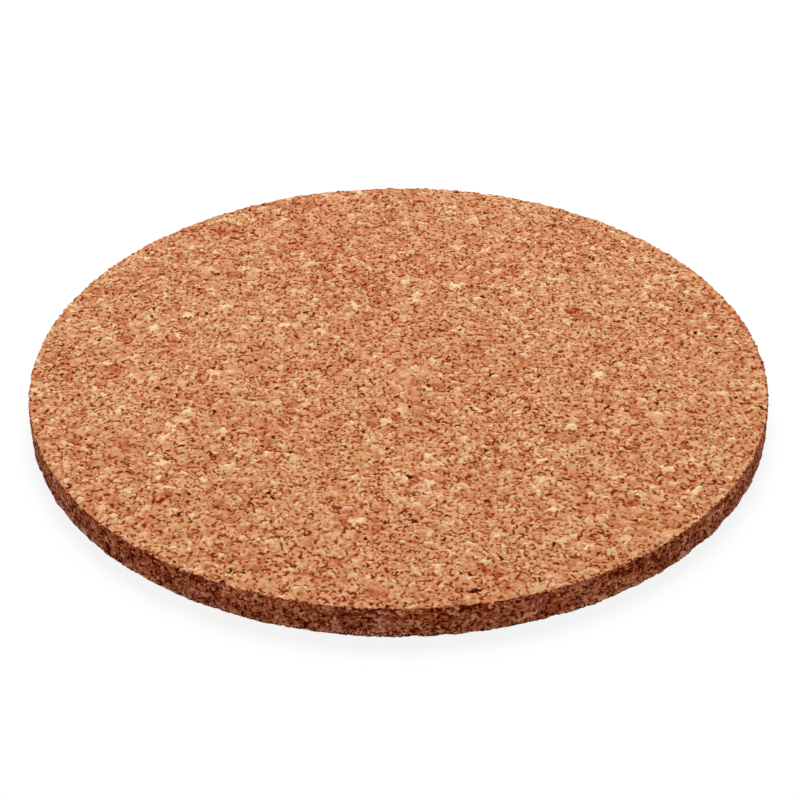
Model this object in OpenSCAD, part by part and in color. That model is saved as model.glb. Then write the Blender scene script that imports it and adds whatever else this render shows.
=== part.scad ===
// Round cork coaster: cork granules pressed flat and bonded into one disc.
// The coarse granules that show on its faces and rim are solids of their own, each glued into a
// pocket of the pressed core, which stands for the finer granules and the binder around them.
// Millimetres, +Z up, origin at the centre of the face that the coaster rests on.

/* [Disc] */
// Diameter of the coaster
disc_d = 100; // [80:1:200]
// Thickness of the coaster
disc_t = 4.5; // [4:0.5:12]
// Width and height of the worn edge around both faces
edge_break = 0.25; // [0.1:0.05:0.5]

/* [Coarse granules] */
// Longest pale granule, from the inner bark
pale_length = 2.8; // [1.6:0.2:5]
// Longest honey-coloured granule, from the middle of the bark
honey_length = 2.6; // [1.6:0.2:5]
// Longest russet granule, from bark rich in tannin
russet_length = 2.4; // [1.6:0.2:5]
// Longest dark granule, from the outer bark and the pores
bark_length = 1.8; // [1:0.2:4]
// Depth of a granule below the face that it shows on
face_depth = 1.2; // [0.6:0.1:1.6]
// Depth of a granule behind the rim that it shows on
rim_depth = 1.2; // [0.6:0.1:3]

/* [Bond] */
// Glue between a granule and its pocket
glue_line = 0.05; // [0.02:0.01:0.1]
// Least core between two pockets
pocket_wall = 1.2; // [0.6:0.1:3]
// Least core between a rim pocket and the worn edge
rim_land = 0.6; // [0.3:0.1:1]
// How far a granule strays from its place in the pattern
scatter = 0.5; // [0:0.1:1.5]

/* [Hidden] */

// Grades of granule, in the order of the lists below
PALE = 0;
HONEY = 1;
RUSSET = 2;
BARK = 3;
grade_length = [pale_length, honey_length, russet_length, bark_length];
grade_colour = ["#e3bd8c", "#cf9463", "#a9623f", "#5f3320"];
core_colour = "#c98a5f";
longest = max(grade_length);

// Outline of a granule: corners on an ellipse, each moved round it and cut back at random
chip_corners = 7;
corner_swing = 0.3;
corner_cut = 0.3;
slimmest = 0.55;
shortest = 0.6;
shortest_rim_height = 0.5;

// Random streams: one for each face, one for the rim, and room in each for every granule
top_seed = 1000;
base_seed = 2000;
rim_seed = 3000;
mark_seed = 4000;

// A golden-angle spiral spreads granules evenly: neighbours lie at least this share of its pitch apart
golden_angle = 180 * (3 - sqrt(5));
spiral_spacing = 0.87;
neighbour_gap = longest + 2 * scatter + 2 * glue_line + pocket_wall;
spiral_pitch = neighbour_gap / spiral_spacing;
disc_r = disc_d / 2;
pattern_r = disc_r - rim_depth - glue_line - pocket_wall - longest / 2 - scatter;
face_sites = floor(PI * pow(pattern_r / spiral_pitch, 2));
rim_sites = floor(PI * disc_d / neighbour_gap);
rim_band = disc_t - 2 * (edge_break + rim_land + glue_line);

// Cuts run this far past the faces that they open
overshoot = 1;

// Fine arcs around the rim
$fa = 1;
$fs = 0.4;

// Large granules that show on the upper face, chosen by hand:
// grade, share of the pattern's radius, bearing, share of the grade's length, turn
top_marks = [
    [PALE, 0.59, -4, 1.0, 35], [PALE, 0.58, -32, 0.95, 10], [PALE, 0.67, 239, 0.7, 100],
    [PALE, 0.56, 48, 0.75, 80], [PALE, 0.95, -8, 0.85, 30], [PALE, 0.98, -25, 0.75, 60],
    [PALE, 0.95, -37, 0.7, 20], [PALE, 0.77, 200, 0.9, 0], [PALE, 0.42, 147, 0.9, 5],
    [PALE, 0.55, -89, 0.7, 60], [PALE, 0.83, 244, 0.8, 70], [PALE, 0.58, 169, 0.7, 60],
    [RUSSET, 0.75, 193, 0.9, 20],
    [BARK, 0.55, 110, 1.0, 60], [BARK, 0.40, 206, 0.7, 30], [BARK, 0.67, -60, 0.7, 0],
    [BARK, 0.66, 248, 0.7, 45], [BARK, 0.95, 55, 0.7, 20]
];

// A granule is [grade, x, y, length, width, turn, seed]
function grade_of(chip) = chip[0];
function chips_of(grade, chips) = [for (chip = chips) if (grade_of(chip) == grade) chip];
function polar(r, bearing) = [r * cos(bearing), r * sin(bearing)];
function between(low, share) = low + (1 - low) * share;

function marked_chips(marks) = [
    for (i = [0 : len(marks) - 1])
        let (
            mark = marks[i],
            place = polar(mark[1] * pattern_r, mark[2]),
            length = mark[3] * grade_length[mark[0]],
            slim = rands(slimmest, 1, 1, mark_seed + i)[0]
        )
        [mark[0], place.x, place.y, length, length * slim, mark[4], mark_seed + i]
];

// True if a granule of any length may lie at place with no mark in its way
function clear_of(place, chips) =
    len([for (chip = chips) if (norm(place - [chip[1], chip[2]]) < neighbour_gap) 1]) == 0;

function spiral_chips(seed, marks) = [
    for (k = [0 : face_sites - 1])
        let (
            luck = rands(0, 1, 6, seed + k),
            home = polar(spiral_pitch * sqrt((k + 0.5) / PI), k * golden_angle),
            place = home + polar(scatter * luck[0], 360 * luck[1]),
            grade = floor(len(grade_length) * luck[2]),
            length = grade_length[grade] * between(shortest, luck[3])
        )
        if (clear_of(place, marks))
            [grade, place.x, place.y, length, length * between(slimmest, luck[4]), 360 * luck[5], seed + k]
];

// On the rim, x is the bearing in degrees, y the height of the middle and the width runs upwards
rim_chips = [
    for (k = [0 : rim_sites - 1])
        let (
            luck = rands(0, 1, 5, rim_seed + k),
            bearing = 360 * k / rim_sites + scatter / disc_r * (luck[0] - 0.5) * 180 / PI,
            grade = floor(len(grade_length) * luck[1]),
            height = rim_band * between(shortest_rim_height, luck[2]),
            middle = disc_t / 2 + (rim_band - height) * (luck[3] - 0.5)
        )
        [grade, bearing, middle, grade_length[grade] * between(shortest, luck[4]), height, 0, rim_seed + k]
];

// How far the round of the rim stands out between a granule's ends
function rim_sag(chip) = disc_r - sqrt(pow(disc_r, 2) - pow(chip[3] / 2, 2));

top_mark_chips = marked_chips(top_marks);
top_chips = concat(top_mark_chips, spiral_chips(top_seed, top_mark_chips));
base_chips = spiral_chips(base_seed, []);

function chip_outline(length, width, seed) =
    let (luck = rands(-1, 1, 2 * chip_corners, seed))
    [
        for (i = [0 : chip_corners - 1])
            let (
                bearing = 360 * (i + corner_swing * luck[i]) / chip_corners,
                reach = 1 - corner_cut * (1 + luck[chip_corners + i]) / 2
            )
            [length / 2 * reach * cos(bearing), width / 2 * reach * sin(bearing)]
    ];

// A granule's outline, larger by a margin all round
module outline_of(chip, margin = 0) {
    polygon(chip_outline(chip[3] + 2 * margin, chip[4] + 2 * margin, chip[6]));
}

// Prisms that stand on the plane z = 0, at the places of granules on a face
module face_prisms(chips, height, margin = 0) {
    for (chip = chips)
        translate([chip[1], chip[2], 0])
            rotate(chip[5])
                linear_extrude(height)
                    outline_of(chip, margin);
}

// Prisms that run outwards from a depth behind the rim: a granule ends flat, where its ends meet the
// round of the rim, and a cut runs past it
module rim_prisms(chips, depth, margin = 0, past = 0) {
    for (chip = chips)
        rotate(chip[1])
            translate([disc_r - depth, 0, chip[2]])
                rotate([90, 0, 90])
                    linear_extrude(depth - rim_sag(chip) + past)
                        outline_of(chip, margin);
}

module disc() {
    rotate_extrude()
        polygon([
            [0, 0], [disc_r - edge_break, 0], [disc_r, edge_break],
            [disc_r, disc_t - edge_break], [disc_r - edge_break, disc_t], [0, disc_t]
        ]);
}

module pressed_core() {
    color(core_colour)
        difference() {
            disc();
            translate([0, 0, disc_t - face_depth - glue_line])
                face_prisms(top_chips, face_depth + glue_line + overshoot, glue_line);
            translate([0, 0, -overshoot])
                face_prisms(base_chips, face_depth + glue_line + overshoot, glue_line);
            rim_prisms(rim_chips, rim_depth + glue_line, glue_line, overshoot);
        }
}

module top_granules(grade) {
    color(grade_colour[grade])
        translate([0, 0, disc_t - face_depth])
            face_prisms(chips_of(grade, top_chips), face_depth);
}

module base_granules(grade) {
    color(grade_colour[grade])
        face_prisms(chips_of(grade, base_chips), face_depth);
}

module rim_granules(grade) {
    color(grade_colour[grade])
        rim_prisms(chips_of(grade, rim_chips), rim_depth);
}

pressed_core();
top_granules(PALE);  // top_pale_granules
top_granules(HONEY);  // top_honey_granules
top_granules(RUSSET);  // top_russet_granules
top_granules(BARK);  // top_bark_granules
rim_granules(PALE);  // rim_pale_granules
rim_granules(HONEY);  // rim_honey_granules
rim_granules(RUSSET);  // rim_russet_granules
rim_granules(BARK);  // rim_bark_granules
base_granules(PALE);  // base_pale_granules
base_granules(HONEY);  // base_honey_granules
base_granules(RUSSET);  // base_russet_granules
base_granules(BARK);  // base_bark_granules
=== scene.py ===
"""Looks of the round cork coaster: its granules, binder and finish, with a camera, lights and a pale floor.

The upper face and the rim are one skin, unrolled flat: a point of it lies at a bearing and at a distance
from the centre that runs over the edge and down the rim. The lower face is a second skin. Each is parted
into small cells, cells are joined into granules, and every granule becomes a closed solid with a worn top
and a point below, set in the binder. The coarse granules of the CAD model keep their places and, to about a
cell, their outlines.
"""

import math

import bpy
import numpy as np
from mathutils import Matrix, Vector
from mathutils.geometry import delaunay_2d_cdt


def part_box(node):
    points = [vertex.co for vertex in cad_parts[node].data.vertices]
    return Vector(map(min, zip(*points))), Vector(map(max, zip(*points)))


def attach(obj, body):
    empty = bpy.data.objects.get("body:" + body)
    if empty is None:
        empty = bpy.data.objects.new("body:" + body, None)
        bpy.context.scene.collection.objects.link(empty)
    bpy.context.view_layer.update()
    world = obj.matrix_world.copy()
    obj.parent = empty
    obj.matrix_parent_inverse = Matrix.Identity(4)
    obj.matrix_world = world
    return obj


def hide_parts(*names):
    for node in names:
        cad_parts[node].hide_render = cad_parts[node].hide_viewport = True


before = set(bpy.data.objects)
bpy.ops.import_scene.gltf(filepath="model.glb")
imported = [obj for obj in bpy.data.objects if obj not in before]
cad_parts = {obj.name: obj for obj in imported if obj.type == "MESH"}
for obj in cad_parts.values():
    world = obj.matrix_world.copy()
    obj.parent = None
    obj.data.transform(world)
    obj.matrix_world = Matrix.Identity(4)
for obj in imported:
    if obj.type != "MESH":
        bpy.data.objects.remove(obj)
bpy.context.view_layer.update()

# Sizes are in millimetres, and meshes are made in metres
MM = 0.001
TINY = 1e-9
core_low, core_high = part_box("pressed_core")
RADIUS = (core_high.x - core_low.x) / 2 / MM
THICK = core_high.z / MM
EDGE_ROUND = 0.25
FLAT_RADIUS = RADIUS - EDGE_ROUND
EDGE_ARC = EDGE_ROUND * math.pi / 2
RIM_WALL = THICK - 2 * EDGE_ROUND

# Distances from the centre of the upper skin
UPPER_REACH = FLAT_RADIUS + 2 * EDGE_ARC + RIM_WALL  # to its end
TOP_REACH = FLAT_RADIUS + EDGE_ARC / 2  # to the middle of the upper rounded edge
LOW_REACH = UPPER_REACH - EDGE_ARC / 2  # to the middle of the lower rounded edge
LOW_ROUND = LOW_REACH - EDGE_ARC / 2  # to where the lower rounded edge starts

# Random numbers are seeded, so that every run makes the same cork
SEEDS = {"upper": 7, "lower": 12, "binder": 20}

# Cells of a skin
CELL_PITCH = 0.55
CELL_JITTER = 0.44  # how far a cell is moved off its grid, as a share of the pitch
SPARE_ROWS = 2  # rows of cells past the end of a skin
MERGE_DISTANCE = 1e-7
WHOLE_HULL = 0  # triangles over all sites, out to their hull

# Marks of cells that are in no granule yet, and of cells past the end of a skin
FREE = -1
OUTSIDE = -2

# Granules that cells join into
FINE_CELLS = 1.0  # usual number of cells in a granule where the grain is finest
COARSE_CELLS = 4.2  # the same where it is coarsest
CELLS_SPREAD = 0.8  # how far the number strays, as a power of e
MOST_CELLS = 20
GRAIN_PATCH = 7.0  # size of patches of finer and coarser grain
SLIMMEST = 0.65  # least width, as a share of the length
GRANULE_DEPTH = 1.1  # depth of the point below

# Spots of the upper face with larger granules, as x, y and radius, and how many times the usual number of
# cells is added at their middles
LARGE_GRAIN_SPOTS = ((-6.5, -46.5, 6), (-18.5, -40.5, 5), (12.5, -45.5, 4), (31, -32, 5), (-30, -33, 4))
LARGE_GRAIN = 2.0

# Grades of granule: the share of the fine granules that each one has, its tone and how far tones stray.
# Tones run from 0, the dark of a crevice, to 1, the palest cork
GRADES = {
    "pale": (0.28, 0.66, 0.1),
    "honey": (0.38, 0.57, 0.06),
    "russet": (0.29, 0.49, 0.06),
    "bark": (0.05, 0.38, 0.07),
}
FACES = ("top", "rim", "base")

# Changes of tone
CELL_TONE = 0.08  # how far the cells of a face stray from their granule
RIM_CELL_TONE = 0.14  # the same on the rim
TONE_BLEND = 0.1  # share that the granules around have in the tone of a corner
COARSE_RIM = 0.5  # share of its contrast that a coarse granule of the rim keeps
PALE_CHIP = 0.14  # what chips, the coarse pale granules of the faces, gain
# Painted highlight: cork between dark gaps is made brighter
HALO = 0.2  # what cork between dark gaps gains
# Painted shade: deeper cork is made darker
DIP_SHADE = 0.85  # what cork loses for each millimetre of depth

# Hues run from 0, a pinker cork, to 1, a yellower one
HUE_PATCH = 6.0
HUE_DRIFT = 0.4  # range from patch to patch
HUE_STRAY = 0.3  # how far granules stray from their patch
CHIP_HUE = 0.25  # what chips gain

# Middle of what runs from 0 to 1, such as tones, hues and patches
MIDDLE = 0.5

# Relief of the granules, as depths below the face
FLUSH_DEPTH = 0.02  # mean depth of a granule's middle
TILT = 0.19  # slope of its top
DOME = 0.28  # fall from its middle, times the square of the distance
CELL_GRAIN = 0.02  # roughness from cell to cell
SEAM_DIP = 0.03  # how far corners inside a granule dip at most
BORDER_DIP = 0.18  # the same at its border
RIM_DIP = 0.3  # the same on the rim
ARRIS_WEAR = 0.12  # mean wear of the granules on the upper edge
ARRIS_BAND = 0.8  # how far wear reaches to each side of an edge
LOW_WEAR = 0.25  # range of depths along the lower edge
LOW_WEAR_PATCH = 1.8
PROUDEST = 0.1
DEEPEST = 0.28

# How dark a corner is: 0 is plain cork, and 1 or more is dark. The dark is partly the cork's own and partly
# painted shade between granules
SEAM_GAP = (0.0, 0.2)  # inside a granule
BORDER_GAP = (0.0, 0.35)  # at its border
MARK_GAP = (0.8, 1.8)  # in a short mark along borders
MARK_STEPS = (1, 4)  # corners of a mark, from the first number to just under the second
MARK_PATCH = 3.0  # size of patches with more or fewer marks
MARK_CHANCE = 0.5  # least share of the corners that marks can start from
# Painted shadow: the lower edge, which faces the floor, is made dark
LOW_EDGE_PAINTED_SHADOW = 1.7  # what the lower edge gains

# Crevices along borders, which gape and are painted darkest for it, as shade in them. All other borders are
# closed
CREVICES = {"upper": 700, "lower": 400}
CREVICE_STEPS = (1, 4)  # corners of a crevice, counted as for a mark
CREVICE_LEAST = 0.08
CREVICE_MEAN = 0.05  # mean width over the least
CREVICE_MOST = 0.2
CREVICE_PULL = 0.2  # share of the width that a corner draws back
PULL_LIMIT = 0.6  # the most it draws back, as a share of the way to its own cells
CREVICE_DIP = 0.5  # depth for each millimetre of width
GAPE_GAP = 10.0  # darkness for each millimetre of width

# Binder under the granules
BINDER_DEPTH = 0.4
BINDER_ROUGHNESS = 0.08
BINDER_RING = 1.0  # distance between rings on its faces
BINDER_SIDE_RINGS = 6
BINDER_SPOKES = 240

# Layout of the picture that each piece's colours can be kept in
MAP_SHARE = 0.98  # share of its room that a skin takes
WALL_MAP = 0.085  # radius of the disc of a face's walls
RIM_ROWS = 8  # rows that the rim is cut into
RIM_ROW_FILL = 0.9  # share of a row's length that is in use
RIM_ROW_MARGIN = 2.0  # room in a row for what reaches past the edge
RIM_FANS = 0.8  # share of the rim's picture below the walls

# Faces of a mesh that meet at more than this angle have a sharp edge
SHARP_ANGLE = math.radians(50)


def from_centre(points):
    """Distances of points from the axis of the disc, or from the centre of a skin."""
    return np.hypot(points[:, 0], points[:, 1])


def place_upper(plane, depth):
    """Places on the disc of points of its unrolled upper face and rim, at depths below the surface."""
    reach = from_centre(plane)
    outward = plane / np.maximum(reach, TINY)[:, None]
    past_face = np.clip(reach - FLAT_RADIUS, 0, None)
    drop = np.clip(past_face - EDGE_ARC, 0, RIM_WALL)
    turn = (past_face - drop) / EDGE_ROUND
    radius = np.minimum(reach, FLAT_RADIUS) + (EDGE_ROUND - depth) * np.sin(turn)
    height = THICK - EDGE_ROUND - drop + (EDGE_ROUND - depth) * np.cos(turn)
    return np.column_stack([outward * radius[:, None], height.clip(0)])


def place_lower(plane, depth):
    """Places on the lower face. It is the plane turned over, so that its outside points down."""
    return np.column_stack([-plane[:, 0], plane[:, 1], depth])


def unroll_upper(points):
    """The reverse of place_upper for points on the upper face or the rim."""
    radius = from_centre(points)
    on_rim = THICK - points[:, 2] > EDGE_ROUND
    reach = np.where(on_rim, FLAT_RADIUS + EDGE_ARC + THICK - EDGE_ROUND - points[:, 2], radius)
    return points[:, :2] * (reach / np.maximum(radius, TINY))[:, None]


def unroll_lower(points):
    """The reverse of place_lower."""
    return points[:, :2] * (-1, 1)


def solids_of(mesh):
    """The points of each separate solid of a CAD mesh, in millimetres."""
    points = np.empty(len(mesh.vertices) * 3, np.float32)
    mesh.vertices.foreach_get("co", points)
    points = (points.reshape(-1, 3) / MM).round(3)
    places, index = np.unique(points, axis=0, return_inverse=True)
    index = index.ravel()
    corners = np.array([index[list(face.vertices)] for face in mesh.polygons])
    # All points of a solid take the least number among them
    label = np.arange(len(places))
    while True:
        least = label.copy()
        np.minimum.at(least, corners.ravel(), np.repeat(label[corners].min(1), corners.shape[1]))
        if (least == label).all():
            break
        label = least
    return [places[label == name] for name in np.unique(label)]


def outness(points, face):
    """How far points lie towards the outside of a face."""
    if face == "rim":
        return from_centre(points)
    return points[:, 2] if face == "top" else -points[:, 2]


def coarse_outlines(face, grade):
    """The outlines of a CAD node's granules on their unrolled skin, corners in order."""
    found = []
    for points in solids_of(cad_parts[f"{face}_{grade}_granules"].data):
        out = outness(points, face)
        points = points[out > out.mean()]
        flat = unroll_lower(points) if face == "base" else unroll_upper(points)
        flat = np.unique(flat.round(3), axis=0)
        arm = flat - flat.mean(0)
        found.append(flat[np.argsort(np.arctan2(arm[:, 1], arm[:, 0]))])
    return found


def inside(points, outline):
    """Which points lie inside an outline, by the even-odd rule."""
    x, y = points.T
    odd = np.zeros(len(points), bool)
    for (x0, y0), (x1, y1) in zip(outline, np.roll(outline, -1, axis=0)):
        crosses = (y0 > y) != (y1 > y)
        odd ^= crosses & (x < (x1 - x0) * (y - y0) / (y1 - y0 + TINY) + x0)
    return odd


def patches(points, size, rng):
    """Smooth random values from 0 to 1 over a skin, in patches of about a size."""
    span = np.abs(points).max() + size
    count = int(2 * span / size) + 3
    lattice = rng.uniform(0, 1, (count, count))
    spot = (points + span) / size
    corner = np.floor(spot).astype(int)
    part = spot - corner
    part = part * part * (3 - 2 * part)
    (i, j), (u, v) = corner.T, part.T
    near = lattice[i, j] * (1 - u) + lattice[i + 1, j] * u
    far = lattice[i, j + 1] * (1 - u) + lattice[i + 1, j + 1] * u
    return near * (1 - v) + far * v


def scatter_sites(reach, rng):
    """Middles of cells on a skin and a little past it: a square grid with every point moved at random."""
    past = (SPARE_ROWS + 1) * CELL_PITCH
    steps = np.arange(-reach - past, reach + past, CELL_PITCH)
    grid = np.stack(np.meshgrid(steps, steps), -1).reshape(-1, 2)
    sites = grid + rng.uniform(-CELL_JITTER, CELL_JITTER, grid.shape) * CELL_PITCH
    return sites[from_centre(sites) < reach + SPARE_ROWS * CELL_PITCH]


def lists_of(keys, values, count):
    """The values that go with each key from 0 up to a count."""
    order = np.argsort(keys, kind="stable")
    return np.split(values[order], np.searchsorted(keys[order], np.arange(1, count)))


class Cells:
    """Cells around sites. A side has the cell that it bounds, the cell beyond and two corners in turn."""

    def __init__(self, sites, reach):
        made = delaunay_2d_cdt([Vector(site) for site in sites], [], [], WHOLE_HULL, MERGE_DISTANCE)
        self.sites = np.array(made[0])
        self.triples = np.array(made[2])
        self.corners = self.centres_of_circles()
        distance = from_centre(self.corners)
        self.corners *= np.minimum(1, reach / np.maximum(distance, TINY))[:, None]
        # Pairs each line between two sites with its twin in the next triple, which runs the other way
        starts = self.triples.ravel()
        ends = np.roll(self.triples, -1, axis=1).ravel()
        owners = np.repeat(np.arange(len(self.triples)), 3)
        there = starts * len(self.sites) + ends
        back = ends * len(self.sites) + starts
        order = np.argsort(there)
        found = np.searchsorted(there[order], back).clip(max=len(order) - 1)
        twin = order[found]
        paired = there[twin] == back
        self.cell = starts[paired]
        self.beyond = ends[paired]
        self.first = owners[twin[paired]]
        self.second = owners[paired]

    def centres_of_circles(self):
        """The middle of the circle through the three sites of each triple."""
        a, b, c = (self.sites[self.triples[:, i]] for i in range(3))
        b, c = b - a, c - a
        twice = 2 * (b[:, 0] * c[:, 1] - b[:, 1] * c[:, 0])
        bb, cc = (b * b).sum(1), (c * c).sum(1)
        x = (c[:, 1] * bb - b[:, 1] * cc) / twice
        y = (b[:, 0] * cc - c[:, 0] * bb) / twice
        return a + np.column_stack([x, y])

    def cells_beside(self):
        """The cells beside each cell."""
        return lists_of(self.cell, self.beyond, len(self.sites))

    def corners_beside(self):
        """The corners one side away from each corner."""
        return lists_of(self.first, self.second, len(self.corners))


def edge_share(points, edge):
    """1 on an edge at a distance from the centre of a skin, less beside it, and 0 outside its band."""
    from_edge = np.abs(from_centre(points) - edge)
    return np.clip(1 - from_edge / ARRIS_BAND, 0, None)


class Skin:
    """A skin parted into granules, with their crevices, relief, tones and hues."""

    def __init__(self, name, reach, faces, place):
        self.rng = np.random.default_rng(SEEDS[name])
        self.place = place
        self.reach = reach
        self.faces = faces
        self.cells = Cells(scatter_sites(reach, self.rng), reach)
        distance = from_centre(self.cells.sites)
        self.on_rim = distance > TOP_REACH
        self.own = distance <= reach
        self.granule_of = np.where(self.own, FREE, OUTSIDE)
        self.coarse = []
        self.take_coarse_granules()
        self.count = len(self.coarse)
        self.join_cells()
        around = self.granule_of[self.cells.triples]
        self.is_border = (around != around[:, :1]).any(1)
        self.sort_granules()
        self.ways = self.ways_between()
        self.gape = np.zeros(len(self.cells.corners))
        self.draw_marks()
        self.open_crevices(CREVICES[name])
        self.shape_cells()
        self.shape_corners()
        self.choose_tones()
        self.choose_hues()

    def take_coarse_granules(self):
        """Makes a granule of the cells inside each coarse granule of the CAD model."""
        sites = self.cells.sites
        for face in self.faces:
            for grade in GRADES:
                for outline in coarse_outlines(face, grade):
                    near = np.flatnonzero(((sites > outline.min(0)) & (sites < outline.max(0))).all(1))
                    within = near[inside(sites[near], outline)]
                    if not len(within):
                        within = np.linalg.norm(sites - outline.mean(0), axis=1).argmin()
                    self.granule_of[within] = len(self.coarse)
                    self.coarse.append((face, grade))

    def usual_cells(self):
        """The usual number of cells in a granule that starts at each cell."""
        sites = self.cells.sites
        usual = FINE_CELLS + (COARSE_CELLS - FINE_CELLS) * patches(sites, GRAIN_PATCH, self.rng)
        for x, y, radius in LARGE_GRAIN_SPOTS:
            usual *= 1 + LARGE_GRAIN * np.exp(-((sites - (x, y)) ** 2).sum(1) / radius ** 2)
        return usual

    def join_cells(self):
        """Joins the other cells into granules of a few cells each, most of them longer than wide."""
        rng = self.rng
        beside = self.cells.cells_beside()
        usual = self.usual_cells()
        for start in rng.permutation(len(usual)):
            if self.granule_of[start] != FREE:
                continue
            wanted = round(usual[start] * math.exp(CELLS_SPREAD * rng.standard_normal()))
            bearing = rng.uniform(0, math.pi)
            width = rng.uniform(SLIMMEST, 1)
            self.grow_granule(start, min(wanted, MOST_CELLS), bearing, width, beside)
            self.count += 1

    def grow_granule(self, start, wanted, bearing, width, beside):
        """Takes in free cells beside a granule's own, those nearest to its start first.

        The rim was cut through the granules, so none runs over its edge.
        """
        sites, granule_of, on_rim = self.cells.sites, self.granule_of, self.on_rim
        along = np.array([math.cos(bearing), math.sin(bearing)])
        across = np.array([-along[1], along[0]]) / width
        members = [start]
        granule_of[start] = self.count
        while len(members) < wanted:
            free = {n for member in members for n in beside[member] if granule_of[n] == FREE}
            free = [n for n in sorted(free) if on_rim[n] == on_rim[start]]
            if not free:
                break
            arm = sites[free] - sites[start]
            members.append(free[np.argmin(np.hypot(arm @ along, arm @ across))])
            granule_of[members[-1]] = self.count

    def sort_granules(self):
        """Finds the middle of each granule, gives it a face and a grade, and lists the chips."""
        home = self.granule_of[self.own]
        members = np.bincount(home, minlength=self.count).clip(1)
        sums = [np.bincount(home, self.cells.sites[self.own, i], self.count) for i in range(2)]
        self.middle = np.column_stack(sums) / members[:, None]
        on_rim = from_centre(self.middle) > TOP_REACH
        self.face = np.where(on_rim, FACES.index("rim"), FACES.index(self.faces[0]))
        shares = [share for share, _, _ in GRADES.values()]
        self.grade = self.rng.choice(len(GRADES), self.count, p=shares)
        for i, (face, grade) in enumerate(self.coarse):
            self.face[i] = FACES.index(face)
            self.grade[i] = list(GRADES).index(grade)
        self.chips = [i for i, (face, grade) in enumerate(self.coarse) if face != "rim" and grade == "pale"]

    def ways_between(self):
        """The corners that each corner leads to along borders of granules, or on the rim along any side."""
        cells = self.cells
        is_way = self.granule_of[cells.cell] != self.granule_of[cells.beyond]
        is_way |= self.on_rim[cells.cell]
        return lists_of(cells.first[is_way], cells.second[is_way], len(cells.corners))

    def wander(self, start, steps):
        """A path of a few corners from a start, about straight on."""
        corners = self.cells.corners
        bearing = self.rng.uniform(0, 2 * math.pi)
        heading = np.array([math.cos(bearing), math.sin(bearing)])
        path = [start]
        while len(path) < steps:
            onward = [way for way in self.ways[path[-1]] if way not in path]
            if not onward:
                break
            ahead = (corners[onward] - corners[path[-1]]) @ heading
            path.append(onward[ahead.argmax()])
        return path

    def draw_marks(self):
        """Sets how dark each corner is: borders a little, and short marks along them more, partly as
        painted shade between granules.

        The marks lie apart from one another, closer together in some patches than in others.
        """
        rng, corners = self.rng, len(self.gape)
        at_border = rng.uniform(*BORDER_GAP, corners)
        self.gap = np.where(self.is_border, at_border, rng.uniform(*SEAM_GAP, corners))
        chance = MARK_CHANCE + (1 - MARK_CHANCE) * patches(self.cells.corners, MARK_PATCH, rng)
        beside = self.cells.corners_beside()
        taken = rng.uniform(0, 1, corners) > chance
        for start in rng.permutation(np.flatnonzero(self.is_border)):
            if taken[start]:
                continue
            path = self.wander(start, rng.integers(*MARK_STEPS))
            self.gap[path] = rng.uniform(*MARK_GAP)
            taken[path] = True
            taken[np.concatenate([beside[corner] for corner in path])] = True

    def open_crevices(self, tries):
        """Sets how far each corner gapes, and darkens it for that with painted shade. A crevice closes at
        both ends.
        """
        rng = self.rng
        for start in rng.choice(np.flatnonzero(self.is_border), tries):
            path = self.wander(start, rng.integers(*CREVICE_STEPS))
            widest = min(CREVICE_LEAST + rng.exponential(CREVICE_MEAN), CREVICE_MOST)
            taper = np.sin(math.pi * np.arange(1, len(path) + 1) / (len(path) + 1))
            self.gape[path] = np.maximum(self.gape[path], widest * taper)
        # Painted shade: the wider a crevice gapes, the darker it is
        self.gap += GAPE_GAP * self.gape
        # Painted shadow along the lower edge, where it faces the floor
        self.gap[from_centre(self.cells.corners) > LOW_ROUND] += LOW_EDGE_PAINTED_SHADOW

    def shape_cells(self):
        """Sets the depths of cells. Each granule is a low dome at a tilt, and edges are worn."""
        cells, rng = self.cells, self.rng
        home = self.granule_of[self.own]
        flush = rng.exponential(FLUSH_DEPTH, self.count)
        flush += edge_share(self.middle, TOP_REACH) * rng.exponential(ARRIS_WEAR, self.count)
        arm = cells.sites[self.own] - self.middle[home]
        lean = (arm * rng.normal(0, TILT, (self.count, 2))[home]).sum(1)
        dome = DOME * (arm * arm).sum(1)
        self.cell_depth = np.abs(rng.normal(0, CELL_GRAIN, len(cells.sites)))
        self.cell_depth[self.own] += (flush[home] + lean + dome).clip(0)
        low_edge = edge_share(cells.sites, LOW_REACH)
        low_wear = LOW_WEAR * (patches(cells.sites, LOW_WEAR_PATCH, rng) - MIDDLE)
        self.cell_depth += low_edge * (low_wear - self.cell_depth)

    def shape_corners(self):
        """Sets the depths of corners. Seams, borders and crevices lie lower than the cells around them."""
        cells = self.cells
        dip = np.where(self.is_border, BORDER_DIP, SEAM_DIP)
        dip = np.where(from_centre(cells.corners) > TOP_REACH, RIM_DIP, dip)
        dip *= (1 - edge_share(cells.corners, LOW_REACH)) * self.rng.uniform(0, 1, len(cells.corners))
        self.corner_depth = self.cell_depth[cells.triples].mean(1) + dip + CREVICE_DIP * self.gape

    def choose_tones(self):
        """Sets the tones of cells. Chips are the palest, and cells between dark gaps are brighter, a
        painted highlight.
        """
        rng = self.rng
        home = self.granule_of[self.own]
        _, tone, stray = np.array(list(GRADES.values())).T
        granule_tone = tone[self.grade] + stray[self.grade] * rng.standard_normal(self.count)
        on_rim = self.face == FACES.index("rim")
        coarse_rim = np.flatnonzero(on_rim[: len(self.coarse)])
        granule_tone[coarse_rim] = MIDDLE + COARSE_RIM * (granule_tone[coarse_rim] - MIDDLE)
        granule_tone[self.chips] += PALE_CHIP
        cell_stray = np.where(on_rim, RIM_CELL_TONE, CELL_TONE)[home]
        self.cell_tone = np.full(len(self.own), MIDDLE)
        self.cell_tone[self.own] = granule_tone[home] + cell_stray * rng.standard_normal(len(home))
        corners = np.bincount(self.cells.cell, minlength=len(self.own)).clip(1)
        gap_around = np.bincount(self.cells.cell, self.gap[self.cells.first], len(self.own)) / corners
        # Painted highlight beside the dark gaps
        self.cell_tone += HALO * (gap_around - gap_around[self.own].mean())

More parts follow.
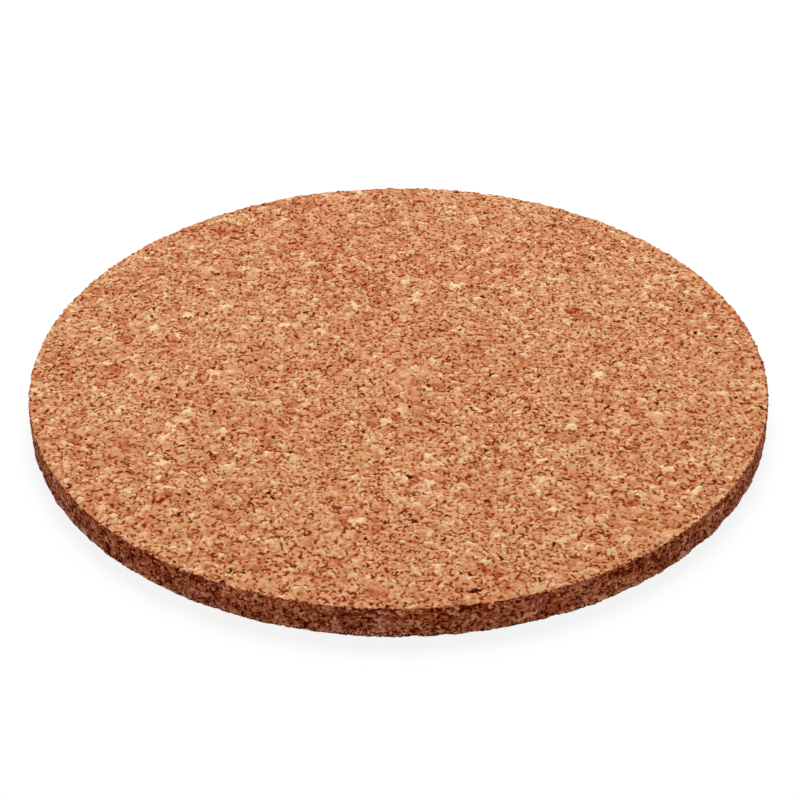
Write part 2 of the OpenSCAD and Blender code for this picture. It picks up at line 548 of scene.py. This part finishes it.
    def choose_hues(self):
        """Sets the hues of cells: pinker and yellower patches, granules that differ, and yellower chips."""
        home = self.granule_of[self.own]
        drift = HUE_DRIFT * (patches(self.cells.sites, HUE_PATCH, self.rng) - MIDDLE)
        self.cell_hue = MIDDLE + drift
        stray = self.rng.normal(0, HUE_STRAY, self.count)
        stray[self.chips] += CHIP_HUE
        self.cell_hue[self.own] += stray[home]


class Solids:
    """The granules of a skin as closed solids: a fan over each cell, and walls that run to a point below.

    Their vertices are the middles of cells, then each granule's own corners, then the points.
    """

    def __init__(self, skin):
        cells = skin.cells
        kept = skin.own[cells.cell]
        self.skin = skin
        self.cell = cells.cell[kept]
        self.granule = skin.granule_of[self.cell]
        self.tops = np.unique(self.cell)
        self.share_corners(cells.first[kept], cells.second[kept])
        self.join_triangles(skin.granule_of[cells.beyond[kept]] != self.granule)
        points = np.arange(skin.count)
        self.owner = np.concatenate([skin.granule_of[self.tops], self.corner_granule, points])
        self.plane = np.concatenate([cells.sites[self.tops], self.corner_places(), skin.middle])
        surface = np.concatenate([skin.cell_depth[self.tops], skin.corner_depth[self.corner]])
        surface = surface.clip(-PROUDEST, DEEPEST)
        depth = np.concatenate([surface, np.full(skin.count, GRANULE_DEPTH)])
        self.places = skin.place(self.plane, depth)
        # Painted shade: cork is darker the deeper it lies, and walls run dark towards their point below
        shade = DIP_SHADE * (depth.clip(max=DEEPEST) - surface.mean())
        self.values = {
            "tone": self.spread_over_corners(skin.cell_tone) - shade,
            "hue": self.spread_over_corners(skin.cell_hue),
            "gap": np.concatenate([np.zeros(len(self.tops)), skin.gap[self.corner], np.ones(skin.count)]),
        }

    def share_corners(self, first, second):
        """Gives each granule a vertex of its own at every corner of its cells."""
        total = len(self.skin.cells.corners)
        keys = np.tile(self.granule, 2) * total + np.concatenate([first, second])
        pairs, self.pair_of = np.unique(keys, return_inverse=True)
        self.corner_granule, self.corner = np.divmod(pairs, total)

    def join_triangles(self, at_border):
        """Numbers the vertices of the triangles of fans and walls."""
        first, second = np.split(len(self.tops) + self.pair_of, 2)
        point = len(self.tops) + len(self.corner) + self.granule
        self.fans = np.column_stack([np.searchsorted(self.tops, self.cell), first, second])
        self.walls = np.column_stack([second, first, point])[at_border]

    def mean_of_own(self, values):
        """The mean over a granule's own cells, at each of its corners."""
        return np.bincount(self.pair_of, np.tile(values[self.cell], 2)) / np.bincount(self.pair_of)

    def corner_places(self):
        """Corners draw back from their neighbours where a crevice opens."""
        cells = self.skin.cells
        corners = cells.corners[self.corner]
        arm = np.column_stack([self.mean_of_own(cells.sites[:, i]) for i in range(2)]) - corners
        length = np.linalg.norm(arm, axis=1)
        pull = np.minimum(CREVICE_PULL * self.skin.gape[self.corner], PULL_LIMIT * length)
        return corners + arm * (pull / np.maximum(length, TINY))[:, None]

    def spread_over_corners(self, cell_values):
        """Values of cells at all vertices. At corners they are partly shared with the granules around."""
        own = self.mean_of_own(cell_values)
        shared = cell_values[self.skin.cells.triples].mean(1)[self.corner]
        corners = own + TONE_BLEND * (shared - own)
        return np.concatenate([cell_values[self.tops], corners, np.zeros(self.skin.count)])


def face_map(solids, used):
    """Places in a face's picture: the fans fill its middle, and the walls a small disc in a corner."""
    flat = solids.plane[used] / solids.skin.reach
    return 0.5 + flat / 2 * MAP_SHARE, WALL_MAP * (1 + flat * MAP_SHARE)


def rim_map(solids, used):
    """Places in the rim's picture: rows of granules, each a stretch of the rim, with the walls above."""
    plane = solids.plane[used]
    middle = solids.skin.middle[solids.owner[used]]
    home = np.arctan2(middle[:, 1], middle[:, 0]) / (2 * math.pi) + 0.5
    row = np.floor(home * RIM_ROWS).clip(0, RIM_ROWS - 1)
    turn = np.arctan2(plane[:, 1], plane[:, 0]) / (2 * math.pi) + 0.5
    along = (turn - (row + 0.5) / RIM_ROWS + 0.5) % 1 - 0.5
    low = TOP_REACH - RIM_ROW_MARGIN
    up = (from_centre(plane) - low) / (UPPER_REACH - low)
    x = 0.5 + along * RIM_ROWS * RIM_ROW_FILL
    y = (row + up * MAP_SHARE) / RIM_ROWS
    return np.column_stack([x, y * RIM_FANS]), np.column_stack([x, RIM_FANS + y * (1 - RIM_FANS)])


def add_piece(name, mesh, material):
    """Makes a mesh the piece that stands for the CAD node of a name."""
    mesh.shade_smooth()
    mesh.set_sharp_from_angle(angle=SHARP_ANGLE)
    mesh.materials.append(material)
    piece = bpy.data.objects.new(f"{name}_dressed", mesh)
    bpy.context.scene.collection.objects.link(piece)
    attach(piece, "root")
    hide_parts(name)


def granule_piece(solids, face, grade, material):
    """One piece of all granules of a grade on a face."""
    name = f"{face}_{grade}_granules"
    skin = solids.skin
    wanted = (skin.face == FACES.index(face)) & (skin.grade == list(GRADES).index(grade))
    fans = solids.fans[wanted[solids.owner[solids.fans[:, 0]]]]
    walls = solids.walls[wanted[solids.owner[solids.walls[:, 0]]]]
    used, corners = np.unique(np.concatenate([fans, walls]), return_inverse=True)
    corners = corners.reshape(-1, 3)
    mesh = bpy.data.meshes.new(name)
    mesh.from_pydata((solids.places[used] * MM).tolist(), [], corners.tolist())
    for key, values in solids.values.items():
        attribute = mesh.attributes.new(key, "FLOAT", "POINT")
        attribute.data.foreach_set("value", values[used].astype(np.float32))
    fan_map, wall_map = rim_map(solids, used) if face == "rim" else face_map(solids, used)
    picture = np.concatenate([fan_map[corners[: len(fans)]], wall_map[corners[len(fans):]]])
    mesh.uv_layers.new(name="OFBake").uv.foreach_set("vector", picture.ravel().astype(np.float32))
    add_piece(name, mesh, material)


def binder_rings():
    """Radius and height of each ring of the binder's skin: out over the top, down and back in below."""
    side = RADIUS - BINDER_DEPTH
    top = THICK - BINDER_DEPTH
    radii = np.arange(BINDER_RING, side, BINDER_RING)
    rings = [(radius, top) for radius in radii]
    rings += [(side, height) for height in np.linspace(top, BINDER_DEPTH, BINDER_SIDE_RINGS)]
    rings += [(radius, BINDER_DEPTH) for radius in radii[::-1]]
    return rings


def binder_faces(rings):
    """Faces between rings of vertices, and at both ends to a single vertex, the first and the last."""
    def at(ring, spoke):
        return 1 + ring * BINDER_SPOKES + spoke % BINDER_SPOKES

    end = rings - 1
    last = at(rings, 0)
    faces = []
    for spoke in range(BINDER_SPOKES):
        onward = spoke + 1
        faces.append((0, at(0, spoke), at(0, onward)))
        for ring in range(end):
            faces.append((at(ring, spoke), at(ring + 1, spoke), at(ring + 1, onward), at(ring, onward)))
        faces.append((at(end, spoke), last, at(end, onward)))
    return faces


def binder_piece(material):
    """The binder and finest cork under the granules: a closed disc with a rough skin."""
    rng = np.random.default_rng(SEEDS["binder"])
    rings = binder_rings()
    bearings = np.arange(BINDER_SPOKES) * 2 * math.pi / BINDER_SPOKES
    places = [(0, 0, THICK - BINDER_DEPTH)]
    for radius, height in rings:
        wave = rng.uniform(-BINDER_ROUGHNESS, BINDER_ROUGHNESS, (2, BINDER_SPOKES))
        ring_radius = radius + wave[0]
        places += zip(ring_radius * np.cos(bearings), ring_radius * np.sin(bearings), height + wave[1])
    places.append((0, 0, BINDER_DEPTH))
    mesh = bpy.data.meshes.new("pressed_core")
    mesh.from_pydata([tuple(c * MM for c in place) for place in places], [], binder_faces(len(rings)))
    add_piece("pressed_core", mesh, material)


def linear(colour):
    """A colour written as a web colour, as linear numbers."""
    shares = [int(colour[i:i + 2], 16) / 255 for i in (1, 3, 5)]
    return [s / 12.92 if s <= 0.04045 else ((s + 0.055) / 1.055) ** 2.4 for s in shares] + [1]


class Nodes:
    """Short ways to add and join the nodes of a material."""

    def __init__(self, name):
        self.material = bpy.data.materials.new(name)
        self.material.use_nodes = True
        self.tree = self.material.node_tree
        self.shader = self.tree.nodes["Principled BSDF"]

    def add(self, kind, **settings):
        """A new node of a kind, with its settings."""
        node = self.tree.nodes.new(kind)
        for name, value in settings.items():
            setattr(node, name, value)
        return node

    def join(self, source, target):
        """Links one socket to another."""
        self.tree.links.new(source, target)

    def attribute(self, name):
        """A value that the mesh holds at its vertices."""
        return self.add("ShaderNodeAttribute", attribute_name=name).outputs["Fac"]

    def noise(self, size, detail=2.0):
        """Noise in the object's own space, with features of a size in millimetres along each axis."""
        place = self.add("ShaderNodeTexCoord").outputs["Object"]
        scaled = self.add("ShaderNodeVectorMath", operation="DIVIDE")
        scaled.inputs[1].default_value = Vector(size) * MM
        self.join(place, scaled.inputs[0])
        node = self.add("ShaderNodeTexNoise")
        node.inputs["Scale"].default_value = 1
        node.inputs["Detail"].default_value = detail
        self.join(scaled.outputs["Vector"], node.inputs["Vector"])
        return node.outputs["Fac"]

    def sum_of(self, start, *parts):
        """A number plus sockets, each times its share."""
        total = None
        for socket, share in parts:
            node = self.add("ShaderNodeMath", operation="MULTIPLY_ADD")
            self.join(socket, node.inputs[0])
            node.inputs[1].default_value = share
            node.inputs[2].default_value = start
            if total:
                self.join(total, node.inputs[2])
            total = node.outputs[0]
        return total

    def spread(self, socket, low, high, to_low=0.0, to_high=1.0):
        """A socket's range from low to high, stretched to another range and cut off at its ends."""
        node = self.add("ShaderNodeMapRange", clamp=True)
        self.join(socket, node.inputs["Value"])
        for name, value in zip(("From Min", "From Max", "To Min", "To Max"), (low, high, to_low, to_high)):
            node.inputs[name].default_value = value
        return node.outputs["Result"]

    def ramp(self, socket, colours):
        """A ramp of colours, evenly spaced."""
        node = self.add("ShaderNodeValToRGB")
        elements = node.color_ramp.elements
        while len(elements) < len(colours):
            elements.new(0.5)
        for i, colour in enumerate(colours):
            elements[i].position = i / (len(colours) - 1)
            elements[i].color = linear(colour)
        self.join(socket, node.inputs["Fac"])
        return node.outputs["Color"]

    def mix(self, share, first, second, blend="MIX"):
        """A blend of two colours, sockets or web colours, by a share that is a socket or a number."""
        node = self.add("ShaderNodeMix", data_type="RGBA", blend_type=blend)
        for socket, value in ((node.inputs[0], share), (node.inputs[6], first), (node.inputs[7], second)):
            if isinstance(value, str):
                socket.default_value = linear(value)
            elif isinstance(value, float):
                socket.default_value = value
            else:
                self.join(value, socket)
        return node.outputs[2]

    def bump(self, *parts):
        """Bumps that are a sum of sockets, each with its height in millimetres."""
        node = self.add("ShaderNodeBump")
        node.inputs["Strength"].default_value = 1
        node.inputs["Distance"].default_value = MM
        self.join(self.sum_of(0, *parts), node.inputs["Height"])
        self.join(node.outputs["Normal"], self.shader.inputs["Normal"])


# Shine and roughness of the materials, and where most values of a noise lie
SHINE = 0.05
CORK_ROUGH = (0.75, 0.95)
BINDER_ROUGH = (0.8, 0.95)
NOISE_RANGE = (0.3, 0.7)

# Binder: its colours, and its grain with the height of that
BINDER_TONES = ("#8c3c1c", "#a6451a", "#b8602e")
BINDER_GRAIN = (0.6, 0.6, 0.6)
BINDER_GRAIN_DETAIL = 3.0
BINDER_GRAIN_HEIGHT = 0.1

# Dark gaps in cork, partly painted shade
GAP_FRAY = 2.0  # how much mottling frays a gap
GAP_STARTS = 0.5  # how dark a corner is where its gap starts to show
GAP_SHADE = 0.47  # how much darker a gap is
GAP_SOFT_SHADE = 0.08  # how much darker its soft surroundings are
GAP_LIFT = 0.07  # how much lighter all cork is in return
# Pits are painted near black, as shade down in them
PIT = (1.4, 2.2)  # how dark corners are where a pit starts and where it is whole
PIT_PAINTED_SHADE = "#3a0d03"


class FaceLook:
    """Cork on the two faces: its tones and hues, its crumbs and finer specks, and how high these are."""

    tones = ("#822e10", "#a6522c", "#be764c", "#ce9268", "#d8a87e", "#e2bc94", "#f0d8b4")
    hues = ("#ffece7", "#fff5ed", "#fffbec")
    mottle = 0.85
    mottle_size = (0.56, 0.5, 0.45)
    mottle_detail = 0.7
    mottle_height = 0.08
    speckle = 0.0
    speck_size = (0.15, 0.15, 0.15)
    speck_height = 0.03


class RimLookWithPaintedShade:
    """Cork on the cut rim: darker and redder, partly as painted shade, with stronger specks that lie along
    the rim.
    """

    tones = ("#571102", "#7a2f13", "#974828", "#b46644", "#cc8464", "#e29f80", "#f8c4a4")
    hues = ("#f0dfe8", "#fff2e4", "#ffe2bc")
    mottle = 0.4
    mottle_size = (0.4, 0.4, 0.4)
    mottle_detail = 3.0
    mottle_height = 0.15
    speckle = 1.4
    speck_size = (0.65, 0.65, 0.2)
    speck_height = 0.1


def cork_material(name, look):
    """Cork, finely mottled, dark in its gaps, partly as painted shade, and almost without shine."""
    nodes = Nodes(name)
    mottle = nodes.noise(look.mottle_size, look.mottle_detail)
    speckle = nodes.noise(look.speck_size)
    soft_gap = nodes.attribute("gap")
    gap = nodes.sum_of(-GAP_FRAY / 2, (soft_gap, 1), (mottle, GAP_FRAY))
    gap = nodes.spread(gap, GAP_STARTS, 1)
    evened = -(look.mottle + look.speckle) / 2
    grain = ((mottle, look.mottle), (speckle, look.speckle))
    # The same mottling sets the tone and the bumps, so the cork is darker in the bumps' hollows: partly its
    # own mottling, partly painted shade
    mottled = nodes.sum_of(evened, (nodes.attribute("tone"), 1), *grain)
    # Gaps and their soft surroundings are darkened, partly as painted shade
    tone = nodes.sum_of(GAP_LIFT, (mottled, 1), (gap, -GAP_SHADE), (soft_gap, -GAP_SOFT_SHADE))
    tint = nodes.ramp(nodes.attribute("hue"), look.hues)
    colour = nodes.mix(1.0, nodes.ramp(tone, look.tones), tint, "MULTIPLY")
    # Painted shade: near black in the pits
    colour = nodes.mix(nodes.spread(soft_gap, *PIT), colour, PIT_PAINTED_SHADE)
    nodes.join(colour, nodes.shader.inputs["Base Color"])
    nodes.join(nodes.spread(mottle, *NOISE_RANGE, *CORK_ROUGH), nodes.shader.inputs["Roughness"])
    nodes.shader.inputs["Specular IOR Level"].default_value = SHINE
    nodes.bump((mottle, look.mottle_height), (speckle, look.speck_height))
    return nodes.material


def binder_material():
    """The dark binder, with the finest cork in it."""
    nodes = Nodes("core_cork")
    grain = nodes.noise(BINDER_GRAIN, BINDER_GRAIN_DETAIL)
    colour = nodes.ramp(nodes.spread(grain, *NOISE_RANGE), BINDER_TONES)
    nodes.join(colour, nodes.shader.inputs["Base Color"])
    nodes.join(nodes.spread(grain, *NOISE_RANGE, *BINDER_ROUGH), nodes.shader.inputs["Roughness"])
    nodes.shader.inputs["Specular IOR Level"].default_value = SHINE
    nodes.bump((grain, BINDER_GRAIN_HEIGHT))
    return nodes.material


def seen_rays(tree):
    """A socket that is 1 for rays from the camera, also by gloss or through glass, and 0 for all others."""
    path = tree.nodes.new("ShaderNodeLightPath")
    seen = path.outputs["Is Camera Ray"]
    for also in ("Is Glossy Ray", "Is Transmission Ray"):
        either = tree.nodes.new("ShaderNodeMath")
        either.operation = "MAXIMUM"
        tree.links.new(seen, either.inputs[0])
        tree.links.new(path.outputs[also], either.inputs[1])
        seen = either.outputs[0]
    return seen


# Floor under the disc
FLOOR_BOUNCE = "#b8aca4"  # its colour in the light that it gives back
FLOOR_SEEN = "#ffffff"  # its colour to the camera
FLOOR_GLOW = 0.85  # share of plain white that the camera sees over its shadow
FLOOR_HALF = 3.0  # half its side, in metres
FLOOR_DROP = 0.02  # how far it lies below the disc


def make_floor():
    """A pale floor: white to the camera, with a soft shadow, and darker in the light that it gives back."""
    mesh = bpy.data.meshes.new("floor")
    corners = [(x * FLOOR_HALF, y * FLOOR_HALF, 0) for x, y in ((-1, -1), (1, -1), (1, 1), (-1, 1))]
    mesh.from_pydata(corners, [], [(0, 1, 2, 3)])
    floor = bpy.data.objects.new("floor", mesh)
    floor.location.z = -FLOOR_DROP * MM
    bpy.context.scene.collection.objects.link(floor)
    nodes = Nodes("floor")
    seen = seen_rays(nodes.tree)
    nodes.join(nodes.mix(seen, FLOOR_BOUNCE, FLOOR_SEEN), nodes.shader.inputs["Base Color"])
    nodes.shader.inputs["Roughness"].default_value = 1
    nodes.shader.inputs["Specular IOR Level"].default_value = 0
    white = nodes.add("ShaderNodeEmission")
    cover = nodes.add("ShaderNodeMixShader")
    nodes.join(nodes.sum_of(0, (seen, FLOOR_GLOW)), cover.inputs[0])
    nodes.join(nodes.shader.outputs[0], cover.inputs[1])
    nodes.join(white.outputs[0], cover.inputs[2])
    nodes.join(cover.outputs[0], nodes.tree.nodes["Material Output"].inputs["Surface"])
    mesh.materials.append(nodes.material)


# Strength of the sky, and the place, size and watts of each lamp, in metres
SKY = 0.38
KEY_LAMP = ((0.0, 0.5, 0.75), 0.5, 7.2)
FILL_LAMP = ((0.0, -0.6, 0.15), 0.25, 0.285)


def add_lamp(name, place, size, energy):
    """A round soft lamp that points at the disc."""
    light = bpy.data.lights.new(name, "AREA")
    light.shape = "DISK"
    light.size = size
    light.energy = energy
    lamp = bpy.data.objects.new(name, light)
    lamp.location = place
    lamp.rotation_mode = "QUATERNION"
    lamp.rotation_quaternion = Vector(place).to_track_quat("Z", "Y")
    bpy.context.scene.collection.objects.link(lamp)


def make_lights():
    """A large soft lamp above and behind, a weak one low in front, and an even sky that looks white."""
    world = bpy.data.worlds.new("sky")
    world.use_nodes = True
    tree = world.node_tree
    background = tree.nodes["Background"]
    background.inputs["Color"].default_value = (1, 1, 1, 1)
    strength = tree.nodes.new("ShaderNodeMapRange")
    strength.inputs["To Min"].default_value = SKY
    tree.links.new(seen_rays(tree), strength.inputs["Value"])
    tree.links.new(strength.outputs["Result"], background.inputs["Strength"])
    bpy.context.scene.world = world
    add_lamp("key", *KEY_LAMP)
    add_lamp("fill", *FILL_LAMP)


# Camera, as fitted to the outline of the disc in a square image with sides of so many pixels
IMAGE_SIDE = 800
FOCAL_PIXELS = 1992.2
CAMERA_ELEVATION = math.radians(35.21)
CAMERA_ROLL = math.radians(-0.21)
CAMERA_DISTANCE = 272.7
AIM_RIGHT = 0.18
AIM_DOWN = 2.8
SENSOR_WIDTH = 36

# Nearest and farthest that the camera sees, in metres
CLIP_START = 0.01
CLIP_END = 20


def make_camera():
    """A camera in front of the disc and above it, upright but for a slight roll."""
    data = bpy.data.cameras.new("camera")
    data.sensor_width = SENSOR_WIDTH
    data.lens = FOCAL_PIXELS / IMAGE_SIDE * SENSOR_WIDTH
    data.clip_start = CLIP_START
    data.clip_end = CLIP_END
    camera = bpy.data.objects.new("camera", data)
    right = Vector((1, 0, 0))
    back = Vector((0, -math.cos(CAMERA_ELEVATION), math.sin(CAMERA_ELEVATION)))
    up = back.cross(right)
    aim = Vector((0, 0, THICK / 2)) + AIM_RIGHT * right - AIM_DOWN * up
    turn = Matrix((right, up, back)).transposed() @ Matrix.Rotation(CAMERA_ROLL, 3, "Z")
    camera.matrix_world = Matrix.Translation((aim + CAMERA_DISTANCE * back) * MM) @ turn.to_4x4()
    bpy.context.scene.collection.objects.link(camera)
    bpy.context.scene.camera = camera


make_camera()
make_lights()
make_floor()
bpy.context.scene.view_settings.view_transform = "Standard"

binder_piece(binder_material())
face_cork = cork_material("face_cork", FaceLook)
# The rim's cork is darker and redder than that of the faces, partly as painted shade
rim_cork_painted_shade = cork_material("rim_cork_painted_shade", RimLookWithPaintedShade)
for skin in (
    Skin("upper", UPPER_REACH, ("top", "rim"), place_upper),
    Skin("lower", FLAT_RADIUS, ("base",), place_lower),
):
    solids = Solids(skin)
    for face in skin.faces:
        for grade in GRADES:
            granule_piece(solids, face, grade, rim_cork_painted_shade if face == "rim" else face_cork)
